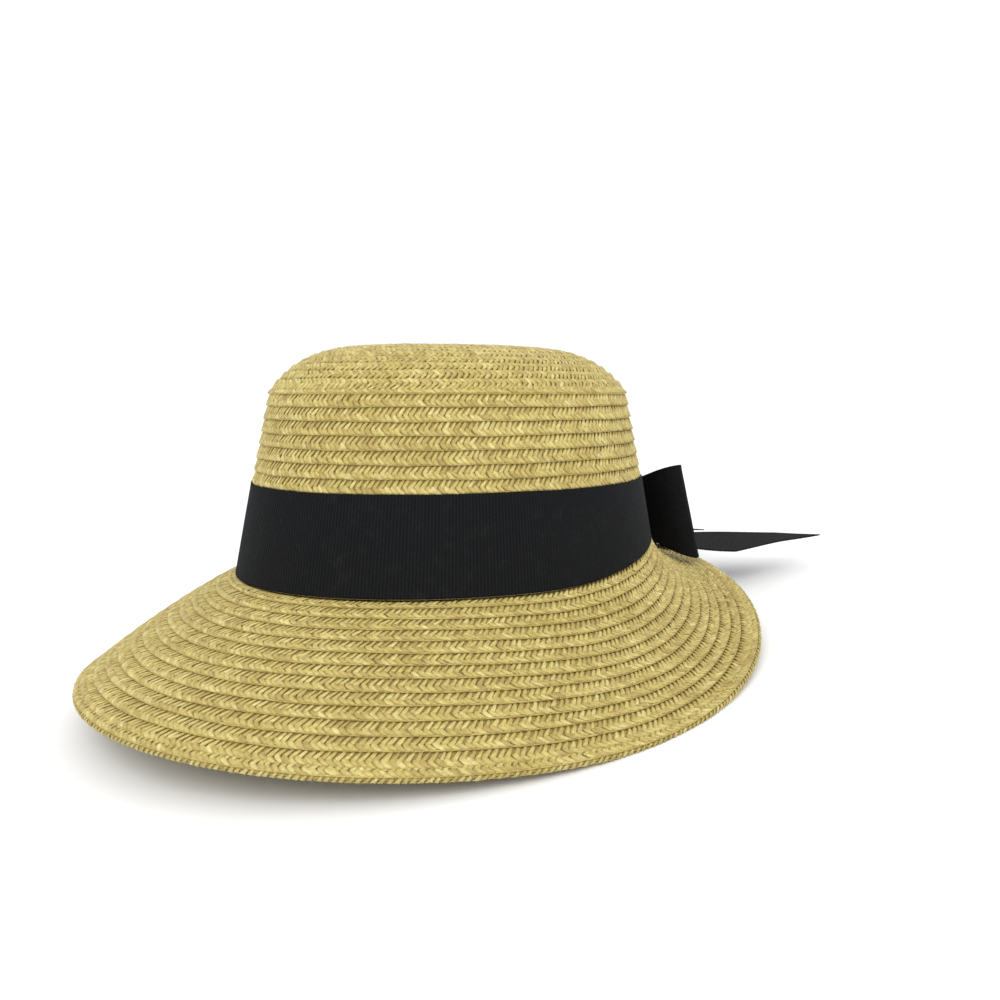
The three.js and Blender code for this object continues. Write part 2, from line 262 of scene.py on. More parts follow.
def strand(name, stations, sides):
    """One straw crossing a row, drawn flat: each station is (along, across, height, half
    width, half thickness, heading in degrees), in millimetres. Starts as a straight rod."""
    start_clean()
    bpy.ops.mesh.primitive_cylinder_add(
        vertices=sides, radius=1, depth=len(stations) - 1, end_fill_type="NGON",
        location=((len(stations) - 1) / 2, 0, 0), rotation=(0, math.pi / 2, 0),
    )
    obj = bpy.context.object
    obj.name = name
    bpy.ops.object.transform_apply(location=True, rotation=True, scale=True)
    for k in range(1, len(stations) - 1):
        pick(obj, lambda co: True)
        bpy.ops.mesh.bisect(plane_co=(k, 0, 0), plane_no=(1, 0, 0))
    for k, (along, across, height, half, thick, heading) in enumerate(stations):
        pick(obj, lambda co: abs(co.x - k) < 0.01)
        bpy.ops.transform.resize(value=(1, half, thick), center_override=(k, 0, 0))
    # The rod keeps its stations apart along X until all have their size; then each goes
    # to its place, the last first so that none is picked twice.
    far = 100
    for k, (along, across, height, half, thick, heading) in reversed(list(enumerate(stations))):
        pick(obj, lambda co: abs(co.x - k) < 0.01)
        bpy.ops.transform.rotate(
            value=-math.radians(heading), orient_axis="Z", center_override=(k, 0, 0)
        )
        bpy.ops.transform.translate(value=(far + along - k, across, height))
    pick(obj, lambda co: True)
    bpy.ops.transform.translate(value=(-far, 0, 0))
    bpy.ops.mesh.normals_make_consistent(inside=False)
    bpy.ops.object.mode_set(mode="OBJECT")
    return obj


def shape_of(obj, stations):
    """The points and faces of a modelled strand, and how far along and across it each
    point is; the model itself is then put away."""
    mesh = obj.data
    points = np.array([v.co[:] for v in mesh.vertices])
    faces = [list(f.vertices) for f in mesh.polygons]
    spine = np.array([s[:3] for s in stations])
    reach = np.concatenate([[0], np.cumsum(np.linalg.norm(np.diff(spine, axis=0), axis=1))])
    nearest = np.linalg.norm(points[:, None] - spine[None], axis=2).argmin(1)
    heading = np.radians([s[5] for s in stations])[nearest]
    away = points - spine[nearest]
    across = away[:, 1] * np.cos(heading) - away[:, 0] * np.sin(heading)
    fibre = np.stack([reach[nearest], across], axis=1)
    bpy.data.objects.remove(obj)
    return points, faces, fibre


# The two strands that cross a row in turn. The high one leans up under the row above;
# the low one runs down and round the row's free edge.
HIGH_STRAND = [
    (-1.25, 1.95, 0.10, 0.90, 0.24, 44),
    (-0.50, 2.80, 0.40, 1.15, 0.34, 48),
    (0.45, 4.00, 0.48, 0.94, 0.36, 53),
    (1.25, 5.25, 0.38, 0.74, 0.32, 56),
    (1.95, 6.55, 0.05, 0.62, 0.24, 58),
]
LOW_STRAND = [
    (-1.60, 3.35, 0.12, 0.66, 0.24, -52),
    (-0.95, 2.40, 0.42, 1.18, 0.32, -50),
    (-0.05, 1.40, 0.48, 1.26, 0.34, -42),
    (1.00, 0.78, 0.42, 1.02, 0.34, -24),
    (2.40, 0.46, 0.20, 0.60, 0.28, -8),
]
UNDER_HIGH = [
    (-1.0, 2.4, 0.05, 0.85, 0.25, 48),
    (0.35, 4.0, 0.38, 1.0, 0.35, 52),
    (1.7, 6.2, 0.05, 0.7, 0.25, 56),
]
UNDER_LOW = [
    (-1.3, 3.2, 0.05, 0.8, 0.25, -50),
    (-0.1, 1.6, 0.38, 1.0, 0.35, -48),
    (1.6, 0.3, 0.05, 0.7, 0.25, -20),
]


def model_strands():
    made = {}
    for name, stations, sides in (
        ("high", HIGH_STRAND, 5), ("low", LOW_STRAND, 5),
        ("under_high", UNDER_HIGH, 4), ("under_low", UNDER_LOW, 4),
    ):
        made[name] = shape_of(strand(name, stations, sides), stations)
    return made


STRANDS = model_strands()


# ---- building meshes ------------------------------------------------------------------
class Pile:
    """Points and faces gathered for one piece, with what its material reads."""

    def __init__(self):
        self.points, self.faces, self.marks, self.looks, self.count = [], [], {}, [], 0

    def add(self, points, faces, look=0, **marks):
        self.points.append(np.asarray(points, float).reshape(-1, 3))
        self.faces.append((faces, self.count))
        self.looks.append(look)
        for key, value in marks.items():
            self.marks.setdefault(key, []).append(np.asarray(value, float).reshape(-1, 3))
        self.count += len(self.points[-1])

    def mesh(self, name):
        """Makes the piece. Each set of faces is an array with a line for each face."""
        points = np.concatenate(self.points)
        starts, corners, looks = [], [], []
        at = 0
        for (sets, base), look in zip(self.faces, self.looks):
            for f in sets:
                n, k = f.shape
                corners.append((f + base).ravel())
                starts.append(at + np.arange(n) * k)
                looks.append(np.full(n, look))
                at += n * k
        mesh = bpy.data.meshes.new(name)
        mesh.vertices.add(len(points))
        mesh.vertices.foreach_set("co", points.ravel())
        corners, starts = np.concatenate(corners), np.concatenate(starts)
        mesh.loops.add(len(corners))
        mesh.loops.foreach_set("vertex_index", corners.astype(np.int32))
        mesh.polygons.add(len(starts))
        mesh.polygons.foreach_set("loop_start", starts.astype(np.int32))
        mesh.polygons.foreach_set("material_index", np.concatenate(looks).astype(np.int32))
        mesh.update(calc_edges=True)
        mesh.polygons.foreach_set("use_smooth", [True] * len(starts))
        for key, values in self.marks.items():
            mark = mesh.attributes.new(key, "FLOAT_VECTOR", "POINT")
            mark.data.foreach_set("vector", np.concatenate(values).astype(np.float32).ravel())
        mesh.validate()
        obj = bpy.data.objects.new(name, mesh)
        bpy.context.scene.collection.objects.link(obj)
        return obj


def same_sized(faces):
    """Faces in arrays of one corner count each."""
    sizes = sorted({len(f) for f in faces})
    return [np.array([f for f in faces if len(f) == k]) for k in sizes]


def grid_faces(columns, rows, closed_columns, closed_rows):
    """Quads between points numbered column by column."""
    i = np.arange(columns if closed_columns else columns - 1)
    j = np.arange(rows if closed_rows else rows - 1)
    i, j = [g.ravel() for g in np.meshgrid(i, j, indexing="ij")]
    i2, j2 = (i + 1) % columns, (j + 1) % rows
    return np.stack([i * rows + j, i2 * rows + j, i2 * rows + j2, i * rows + j2], axis=1)


# ---- rows of plait --------------------------------------------------------------------
class Row:
    """One row. free(turn) is the level of its free edge and tucked(turn) of the seam
    that the next row covers. Points are given along, across (mm) and off its face."""

    def __init__(self, form, free, tucked, way=1, rise=ROW_RISE):
        self.form, self.free, self.tucked, self.way, self.rise = form, free, tucked, way, rise
        self.turn = np.linspace(0, FULL, 721)
        ring = self.place(self.turn, 0.5, 0)
        steps = np.linalg.norm(np.diff(ring, axis=0), axis=1)
        self.reach = np.concatenate([[0], np.cumsum(steps)])
        self.length = self.reach[-1]

    def place(self, turn, share, off):
        free, tucked = self.free(turn), self.tucked(turn)
        point, normal = face_of(self.form, free + (tucked - free) * share, turn)
        lift = off + self.rise * (1 - np.asarray(share)) + SEAT
        return point + normal * np.asarray(lift)[..., None] * np.ones(normal.shape)

    def turn_at(self, along):
        laps = np.floor(along / self.length)
        return np.interp(along - laps * self.length, self.reach, self.turn) + laps * FULL


# How far strands stray, in millimetres, and how much their width and slant differ.
STRAY_ALONG, STRAY_ACROSS, STRAY_HEIGHT, STRAY_WIDTH, STRAY_SLANT = 0.17, 0.12, 0.06, 0.09, 0.09
STRAND_PITCH, STRAND_STRETCH = 2.6, 1.15  # the spacing they were drawn for, the most they widen


def lay_strands(pile, row, kinds, spacing, rng, under=False):
    """Repeats the modelled strands along a row, each a little different."""
    count = max(8, round(row.length / spacing))
    pitch = row.length / count
    for kind in kinds:
        points, faces, fibre = STRANDS[kind]
        n = len(points)
        along = (np.arange(count) + 0.5) * pitch + rng.normal(0, STRAY_ALONG, count)
        across = rng.normal(0, STRAY_ACROSS, count)
        height = rng.normal(0, STRAY_HEIGHT, count)
        width = 1 + rng.normal(0, STRAY_WIDTH, count)
        tone, warm = rng.random(count), rng.random(count)
        swing = rng.normal(0, STRAY_SLANT, count)
        middle = points.mean(0)
        rel = points - middle
        u = middle[0] + rel[None, :, 0] * width[:, None] - rel[None, :, 1] * swing[:, None]
        v = middle[1] + across[:, None] + rel[None, :, 1]
        h = points[None, :, 2] + height[:, None]
        u = u * min(STRAND_STRETCH, pitch / STRAND_PITCH)
        way = -row.way if under else row.way
        turn = row.turn_at(along[:, None] + way * u)
        share = v / ROW
        off = -PLAIT - h if under else h
        placed = row.place(turn.ravel(), share.ravel(), off.ravel())
        base = (np.arange(count) * n)[:, None, None]
        sets = [(f[None] + base).reshape(-1, f.shape[1]) for f in same_sized(faces)]
        # The third strand mark is the strand's height, taken lower towards the seam that the next row
        # covers. The straw's colour is darkened where it is low: painted shade in the grooves between
        # rows. Low strands get only part of it.
        painted_shade = points[:, 2] - 0.35 * np.clip(points[:, 1] - 4.5, 0, 1.2)
        if kind == "low":
            painted_shade = np.maximum(painted_shade, 0.27)
        marks = np.stack([np.repeat(tone, n), np.repeat(warm, n), np.tile(painted_shade, count)], axis=1)
        length = np.stack([
            np.tile(fibre[:, 0], count) + np.repeat(tone * 57, n),
            np.tile(fibre[:, 1], count), np.repeat(warm * 31, n),
        ], axis=1)
        pile.add(stand(placed), sets, 0, strand=marks, fibre=length)


CORE_STEPS, ROLL_STEPS = 200, 220
ROLL_ACROSS, ROLL_OFF, ROLL_HALF, ROLL_HIGH = 0.30, -0.15, 0.46, 0.45


def core_section(points):
    """The flat plait's own section: share of the row's width, height."""
    reach = 1.22
    across = np.linspace(0.05, reach, points)
    top = [(a, -0.08) for a in across]
    below = [(a, -0.96) for a in across[::-1]]
    return [(0.0, -0.52), (0.02, -0.25), *top, (reach + 0.04, -0.52), *below, (0.01, -0.8)]


def lay_core(pile, row):
    turn = (np.arange(CORE_STEPS) / CORE_STEPS * FULL)[:, None]
    section = core_section(14 if row.form is rim else 4)
    share, off = [np.array(c)[None] for c in zip(*section)]
    turn, share, off = [a.ravel() for a in np.broadcast_arrays(turn, share, off)]
    placed = row.place(turn, share, off)
    along = np.interp(turn, row.turn, row.reach)
    faces = grid_faces(CORE_STEPS, len(section), True, True)
    if row.way < 0:
        faces = faces[:, ::-1]
    marks = np.stack([along, share * ROW, off], axis=1)
    pile.add(stand(placed), [faces], 1, strand=marks * 0 + 0.5, fibre=marks)


def lay_roll(pile, row, rng):
    """A smooth roll of straw along a row: the plait's folded free edge."""
    turn = np.arange(ROLL_STEPS) / ROLL_STEPS * FULL
    angle = np.arange(8) / 8 * FULL
    side, lift = ROLL_HALF * np.cos(angle), ROLL_HIGH * np.sin(angle)
    share = (ROLL_ACROSS + side) / ROW
    at, share, lift = np.broadcast_arrays(turn[:, None], share[None], lift[None])
    placed = row.place(at.ravel(), share.ravel(), ROLL_OFF + lift.ravel())
    tone = np.repeat(0.5 + 0.35 * wander(rng, ROLL_STEPS), 8)
    along = np.interp(at.ravel(), row.turn, row.reach)
    round_it = np.tile(side, ROLL_STEPS)
    # The roll's side that faces out over its row's free edge is marked low, so its colour is darkened:
    # painted shade, a dark line under each free edge.
    painted_shade = np.tile(0.45 - 0.40 * np.clip(-np.cos(angle), 0, 1), ROLL_STEPS)
    marks = np.stack([tone, 0.5 + 0 * tone, painted_shade], axis=1)
    fibre = np.stack([along * 0.4 + round_it, along * 0.8 - round_it, 0 * tone], axis=1)
    pile.add(stand(placed), [grid_faces(ROLL_STEPS, 8, True, True)], 0, strand=marks, fibre=fibre)


def wander(rng, count):
    """A closed run of values that drift between -1 and 1."""
    rough = rng.normal(0, 1, count)
    near = sum(np.roll(rough, k) for k in (-1, 0, 1, 2))
    return np.clip(near / 3, -1, 1)


def waver(seam, turn):
    """How a seam sewn by hand strays from its line."""
    return (
        0.13 * np.sin(5 * turn + 2.3 * seam) + 0.09 * np.sin(11 * turn + 4.1 * seam)
        + 0.06 * np.sin(23 * turn + 1.7 * seam)
    )


def brim_row(k):
    """Rows are counted out from the crown; the last is sewn under the edge row."""
    rows_across, first = 13.587, 0.799

    def line(seam):
        share = (first + seam) / rows_across
        return lambda turn: np.maximum(around(BRIM_WIDTH, turn) * share + waver(seam, turn), 0.3)

    return Row(brim, line(k), line(k - 1))


def edge_rows():
    """The last course is folded in two: one row lies on top, and the other goes round the
    fold and back under the brim."""
    top = Row(rim, level(4.0), level(-1.0), rise=0.8)
    below = Row(rim, level(11.2), level(4.2), rise=0.25)
    return [top, below]


SIDE_ROW = 5.55
TIP_ROWS, SIDE_ROWS, COVERED_ROWS, BRIM_ROWS = 15, 7, 7, 13
SHOULDER_HALF = 0.9


def tip_levels():
    """Insets of the tip's seams, evenly spaced along its curve from the shoulder in."""
    inset = np.linspace(0, SHOULDER[0] - 7.4, 400)
    slope = TIP_RISE * TIP_POWER / SHOULDER[0] * (1 - inset / SHOULDER[0]) ** (TIP_POWER - 1)
    reach = np.cumsum(np.hypot(1, slope) * (inset[1] - inset[0]))
    return np.interp(np.linspace(SHOULDER_HALF, reach[-1], TIP_ROWS + 1), reach, inset)


TIP_LEVELS = tip_levels()


def button_row():
    """The plait's start, doubled back on itself along the middle of the tip."""
    return Row(tip, level(74.85), level(TIP_LEVELS[-1]), way=-1, rise=1.3)


def side_row(k):
    """Rows are counted up from the top of the band."""
    def line(seam):
        return lambda turn: BAND_TOP_HEIGHT + seam * SIDE_ROW + waver(seam + 20, turn)

    return Row(wall, line(k), line(k + 1))


def covered_row(k):
    """One of the rows under the band, which close up towards the back."""
    def line(seam):
        return lambda turn: lerp(climb(turn), BAND_TOP_HEIGHT, seam / COVERED_ROWS)

    return Row(wall, line(k), line(k + 1))


def shoulder_row():
    """A narrow row that turns the corner between the crown's side and its tip."""
    return Row(tip, level(-SHOULDER_HALF), level(2 * SHOULDER_HALF), rise=0.6)


def tip_row(k):
    """Rows are counted in from the shoulder. The plait is turned round on the tip, so
    each row's free edge faces the middle."""
    def line(seam):
        return lambda turn: TIP_LEVELS[seam] + waver(seam + 40, turn)

    return Row(tip, line(k + 1), line(k), way=-1)


def plaited(name, rows, spacing, seed, node=None, under=True, tops=True):
    rng = np.random.default_rng(seed)
    pile = Pile()
    for row in rows:
        lay_core(pile, row)
        if tops:
            lay_strands(pile, row, ("high", "low"), spacing, rng)
            lay_roll(pile, row, rng)
        if under:
            lay_strands(pile, row, ("under_high", "under_low"), spacing * 1.25, rng, under=True)
    finish_straw(pile.mesh(name), node)


def finish_straw(obj, node):
    for look in (STRAW, STRAW_CORE):
        obj.data.materials.append(look)
    outwards(obj)
    if node:
        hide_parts(node)
    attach(obj, "hat")


def outwards(obj):
    start_clean()
    bpy.context.view_layer.objects.active = obj
    obj.select_set(True)
    bpy.ops.object.mode_set(mode="EDIT")
    bpy.ops.mesh.select_all(action="SELECT")
    bpy.ops.mesh.normals_make_consistent(inside=False)
    bpy.ops.object.mode_set(mode="OBJECT")


# ---- materials ------------------------------------------------------------------------
def node(tree, kind, **values):
    """A node with its settings and its sockets' values by name."""
    made = tree.nodes.new("ShaderNode" + kind)
    for key, value in values.items():
        name = key.replace("_", " ")
        if name in made.inputs:
            made.inputs[name].default_value = value
        else:
            setattr(made, key, value)
    return made


def join(tree, *pairs):
    for source, target in pairs:
        tree.links.new(source, target)


def maths(tree, kind, a, b=None):
    made = tree.nodes.new("ShaderNodeMath")
    made.operation = kind
    for k, value in enumerate((a, b)):
        if value is None:
            continue
        if isinstance(value, (int, float)):
            made.inputs[k].default_value = value
        else:
            tree.links.new(value, made.inputs[k])
    return made.outputs[0]


def ramp(tree, source, stops):
    made = tree.nodes.new("ShaderNodeValToRGB")
    points = made.color_ramp.elements
    while len(points) < len(stops):
        points.new(0.5)
    for point, (place, colour) in zip(points, stops):
        point.position = place
        point.color = (*colour, 1)
    tree.links.new(source, made.inputs["Fac"])
    return made.outputs["Color"]


def blend(tree, kind, amount, a, b):
    made = tree.nodes.new("ShaderNodeMix")
    made.data_type, made.blend_type = "RGBA", kind
    for socket, value in zip((made.inputs[0], made.inputs[6], made.inputs[7]), (amount, a, b)):
        if isinstance(value, (int, float)):
            socket.default_value = value
        elif isinstance(value, tuple):
            socket.default_value = (*value, 1)
        else:
            tree.links.new(value, socket)
    return made.outputs[2]


def group(name, inputs, outputs):
    tree = bpy.data.node_groups.new(name, "ShaderNodeTree")
    for label, kind in inputs:
        tree.interface.new_socket(label, in_out="INPUT", socket_type="NodeSocket" + kind)
    for label, kind in outputs:
        tree.interface.new_socket(label, in_out="OUTPUT", socket_type="NodeSocket" + kind)
    return tree, tree.nodes.new("NodeGroupInput").outputs, tree.nodes.new("NodeGroupOutput").inputs


def use(tree, shared, **values):
    made = tree.nodes.new("ShaderNodeGroup")
    made.node_tree = shared
    for key, value in values.items():
        socket = made.inputs[key.replace("_", " ")]
        if hasattr(value, "is_linked") or hasattr(value, "links"):
            tree.links.new(value, socket)
        else:
            socket.default_value = value
    return made.outputs


def straw_fibre_group():
    """Fine fibres along a straw and blotches over the whole hat."""
    tree, given, out = group(
        "straw_fibre", [("Fibre", "Vector"), ("Place", "Vector")],
        [("Streak", "Float"), ("Patch", "Float"), ("Fleck", "Float"), ("Height", "Float")],
    )
    fleck = node(tree, "TexNoise", Scale=620.0, Detail=2.0, Roughness=0.7)
    patch = node(tree, "TexNoise", Scale=55.0, Detail=3.0, Roughness=0.55)
    streaks = []
    for along, across, share in ((0.35, 4.2, 0.4), (0.16, 1.7, 0.6)):
        drawn = node(tree, "Mapping", Scale=(along, across, 1.0))
        made = node(tree, "TexNoise", Scale=1.0, Detail=3.0, Roughness=0.6)
        join(
            tree, (given["Fibre"], drawn.inputs["Vector"]),
            (drawn.outputs["Vector"], made.inputs["Vector"]),
        )
        streaks.append(maths(tree, "MULTIPLY", made.outputs["Fac"], share))
    streak = maths(tree, "ADD", *streaks)
    join(
        tree, (given["Place"], patch.inputs["Vector"]), (streak, out["Streak"]),
        (given["Place"], fleck.inputs["Vector"]), (fleck.outputs["Fac"], out["Fleck"]),
        (patch.outputs["Fac"], out["Patch"]), (streak, out["Height"]),
    )
    return tree


STRAW_FIBRE = straw_fibre_group()


def principled(name, **values):
    look = bpy.data.materials.new(name)
    look.use_nodes = True
    tree = look.node_tree
    shader = next(n for n in tree.nodes if n.type == "BSDF_PRINCIPLED")
    for key, value in values.items():
        shader.inputs[key.replace("_", " ")].default_value = value
    return look, tree, shader


def bumped(tree, shader, height, strength, distance):
    made = node(tree, "Bump", Strength=strength, Distance=distance)
    join(tree, (height, made.inputs["Height"]), (made.outputs["Normal"], shader.inputs["Normal"]))


def straw_look():
    look, tree, shader = principled("plaited_straw", Specular_IOR_Level=0.35)
    strand_mark = node(tree, "Attribute", attribute_name="strand")
    fibre_mark = node(tree, "Attribute", attribute_name="fibre")
    place = node(tree, "TexCoord")
    part = node(tree, "SeparateXYZ")
    join(tree, (strand_mark.outputs["Vector"], part.inputs[0]))
    # The strand mark holds a random tone, a random warm share and, third, the depth that sets the painted
    # shade.
    tone, warm, height = part.outputs
    fibres = use(
        tree, STRAW_FIBRE, Fibre=fibre_mark.outputs["Vector"], Place=place.outputs["Object"]
    )
    colour = ramp(tree, tone, [
        (0.0, (0.46, 0.355, 0.125)), (0.15, (0.50, 0.405, 0.135)), (0.40, (0.55, 0.458, 0.155)),
        (0.75, (0.58, 0.495, 0.178)), (1.0, (0.68, 0.595, 0.25)),
    ])
    streak = ramp(tree, fibres["Streak"], [(0.37, (0.64, 0.60, 0.52)), (0.60, (1.12, 1.11, 1.10))])
    colour = blend(tree, "MULTIPLY", 0.75, colour, streak)
    patch = ramp(tree, fibres["Patch"], [(0.35, (0.90, 0.87, 0.80)), (0.65, (1.04, 1.04, 1.06))])
    colour = blend(tree, "MULTIPLY", 0.8, colour, patch)
    fleck = ramp(tree, fibres["Fleck"], [(0.36, (0.80, 0.78, 0.72)), (0.62, (1.10, 1.10, 1.10))])
    colour = blend(tree, "MULTIPLY", 0.8, colour, fleck)
    tan = ramp(tree, warm, [(0.95, (0, 0, 0)), (0.97, (1, 1, 1))])
    colour = blend(tree, "MIX", maths(tree, "MULTIPLY", tan, 0.4), colour, (0.45, 0.32, 0.13))
    # Painted shade: where that depth is low, in the grooves between rows and on the outer side of each
    # roll, the colour is mixed towards a darker straw.
    painted_shade = ramp(tree, height, [(0.0, (1, 1, 1)), (0.42, (0, 0, 0))])
    colour = blend(
        tree, "MIX", maths(tree, "MULTIPLY", painted_shade, 0.45), colour, (0.45, 0.35, 0.11)
    )
    join(tree, (colour, shader.inputs["Base Color"]))
    rough = ramp(tree, fibres["Streak"], [(0.3, (0.62,) * 3), (0.7, (0.46,) * 3)])
    join(tree, (rough, shader.inputs["Roughness"]))
    bumped(tree, shader, fibres["Height"], 0.5, 0.00025)
    return look


def core_look():
    """The inside of the plait, seen only in the slits and as the ground of the back."""
    look, tree, shader = principled("plait_ground", Specular_IOR_Level=0.2, Roughness=0.8)
    fibre_mark = node(tree, "Attribute", attribute_name="fibre")
    place = node(tree, "TexCoord")
    fibres = use(
        tree, STRAW_FIBRE, Fibre=fibre_mark.outputs["Vector"], Place=place.outputs["Object"]
    )
    colour = ramp(tree, fibres["Streak"], [(0.3, (0.38, 0.29, 0.10)), (0.7, (0.52, 0.41, 0.15))])
    join(tree, (colour, shader.inputs["Base Color"]))
    bumped(tree, shader, fibres["Height"], 0.4, 0.0003)
    return look


STRAW, STRAW_CORE = straw_look(), core_look()


def thread_group():
    """Grosgrain: fine warp threads over the ribs and a slight unevenness of the dye."""
    tree, given, out = group(
        "grosgrain_threads", [("Thread", "Vector"), ("Place", "Vector")],
        [("Shade", "Float"), ("Height", "Float"), ("Dust", "Float")],
    )
    part = node(tree, "SeparateXYZ")
    join(tree, (given["Thread"], part.inputs[0]))
    warp = maths(tree, "SINE", maths(tree, "MULTIPLY", part.outputs["Y"], FULL / 0.42))
    weft = maths(tree, "SINE", maths(tree, "MULTIPLY", part.outputs["X"], FULL / 1.35))
    drawn = node(tree, "Mapping", Scale=(0.5, 6.0, 1.0))
    slub = node(tree, "TexNoise", Scale=1.0, Detail=2.0)
    dust = node(tree, "TexNoise", Scale=180.0, Detail=4.0, Roughness=0.7)
    join(
        tree, (given["Thread"], drawn.inputs["Vector"]),
        (drawn.outputs["Vector"], slub.inputs["Vector"]),
        (given["Place"], dust.inputs["Vector"]),
    )
    height = maths(tree, "ADD", maths(tree, "MULTIPLY", warp, 0.35), slub.outputs["Fac"])
    shade = maths(tree, "ADD", maths(tree, "MULTIPLY", weft, 0.16), slub.outputs["Fac"])
    join(
        tree, (height, out["Height"]), (shade, out["Shade"]), (dust.outputs["Fac"], out["Dust"])
    )
    return tree


THREADS = thread_group()


def ribbon_look(name, low, high, sheen):
    look, tree, shader = principled(
        name, Specular_IOR_Level=0.07, Sheen_Weight=sheen, Sheen_Roughness=0.45,
        Sheen_Tint=(0.5, 0.6, 0.8, 1),
    )
    thread = node(tree, "Attribute", attribute_name="thread")
    place = node(tree, "TexCoord")
    made = use(
        tree, THREADS, Thread=thread.outputs["Vector"], Place=place.outputs["Object"]
    )
    colour = ramp(tree, made["Shade"], [(0.25, low), (0.75, high)])
    dusty = ramp(tree, made["Dust"], [(0.55, (0, 0, 0)), (0.80, (1, 1, 1))])
    colour = blend(
        tree, "MIX", maths(tree, "MULTIPLY", dusty, 0.02), colour, (0.30, 0.29, 0.27)
    )
    rough = ramp(tree, made["Shade"], [(0.2, (0.80,) * 3), (0.8, (0.62,) * 3)])
    join(tree, (colour, shader.inputs["Base Color"]), (rough, shader.inputs["Roughness"]))
    bumped(tree, shader, made["Height"], 0.45, 0.0001)
    return look


BAND_LOOK = ribbon_look("black_grosgrain", (0.0040, 0.0042, 0.0048), (0.0100, 0.0106, 0.0116), 0.012)
# The bow's ribbon is the band's grosgrain painted darker: painted shade, for the shade in the bow's
# loops. The knot and the tails take it too.
BOW_LOOK_PAINTED_SHADE = ribbon_look("bow_grosgrain_painted_shade", (0.0032, 0.0032, 0.0036), (0.0068, 0.0069, 0.0075), 0.008)
SWEAT_LOOK = ribbon_look("sweatband_twill", (0.010, 0.010, 0.012), (0.030, 0.031, 0.036), 0.15)


def metal_look():
    look, tree, shader = principled("spring_wire", Metallic=1.0)
    place = node(tree, "TexCoord")
    drawn = node(tree, "TexNoise", Scale=900.0, Detail=2.0)
    join(tree, (place.outputs["Object"], drawn.inputs["Vector"]))
    colour = ramp(tree, drawn.outputs["Fac"], [(0.3, (0.30, 0.31, 0.33)), (0.7, (0.42, 0.43, 0.44))])
    rough = ramp(tree, drawn.outputs["Fac"], [(0.3, (0.42,) * 3), (0.7, (0.28,) * 3)])
    join(tree, (colour, shader.inputs["Base Color"]), (rough, shader.inputs["Roughness"]))
    return look


def label_look():
    look, tree, shader = principled("woven_label", Specular_IOR_Level=0.25)
    thread = node(tree, "Attribute", attribute_name="thread")
    place = node(tree, "TexCoord")
    made = use(
        tree, THREADS, Thread=thread.outputs["Vector"], Place=place.outputs["Object"]
    )
    colour = ramp(tree, made["Shade"], [(0.25, (0.62, 0.60, 0.54)), (0.75, (0.80, 0.78, 0.72))])
    rough = ramp(tree, made["Shade"], [(0.2, (0.85,) * 3), (0.8, (0.7,) * 3)])
    join(tree, (colour, shader.inputs["Base Color"]), (rough, shader.inputs["Roughness"]))
    bumped(tree, shader, made["Height"], 0.5, 0.0001)
    return look


# ---- straw pieces ---------------------------------------------------------------------
CROWN_SPACING, BRIM_SPACING = 2.3, 2.5  # from strand to strand
FIRST_SEED = 11


def straw_pieces():
    """Lays the rows, a few to a piece, so that none grows too heavy."""
    tips = [shoulder_row()] + [tip_row(k) for k in range(TIP_ROWS)]
    sides = [side_row(k) for k in range(SIDE_ROWS)]
    covered = [covered_row(k) for k in range(COVERED_ROWS)]
    brims = [brim_row(k) for k in range(BRIM_ROWS)]
    pieces = (
        ("crown_tip_rows", tips[:4], CROWN_SPACING, "crown_tip", {}),
        ("crown_tip_rows_middle", tips[4:8], CROWN_SPACING, None, {}),
        ("crown_tip_rows_inner", tips[8:], CROWN_SPACING, None, {}),
        ("crown_side_rows", sides[:4], CROWN_SPACING, "crown_side", {}),
        ("crown_side_rows_upper", sides[4:], CROWN_SPACING, None, {}),
        ("crown_rows_under_band", covered, CROWN_SPACING, None, {"tops": False}),
        ("brim_rows_inner", brims[:4], BRIM_SPACING, "brim", {}),
        ("brim_rows_second", brims[4:7], BRIM_SPACING, None, {}),
        ("brim_rows_third", brims[7:10], BRIM_SPACING, None, {}),
        ("brim_rows_outer", brims[10:], BRIM_SPACING, None, {}),
        ("tip_button_rows", [button_row()], CROWN_SPACING, "tip_button", {}),
        ("brim_edge_rows", edge_rows(), BRIM_SPACING, "brim_edge", {"under": False}),
    )
    for seed, (name, rows, spacing, stands_for, sides_laid) in enumerate(pieces, FIRST_SEED):
        plaited(name, rows, spacing, seed, stands_for, **sides_laid)


straw_pieces()

# ---- ribbon ---------------------------------------------------------------------------
RIB = 1.35  # from one rib of the grosgrain to the next


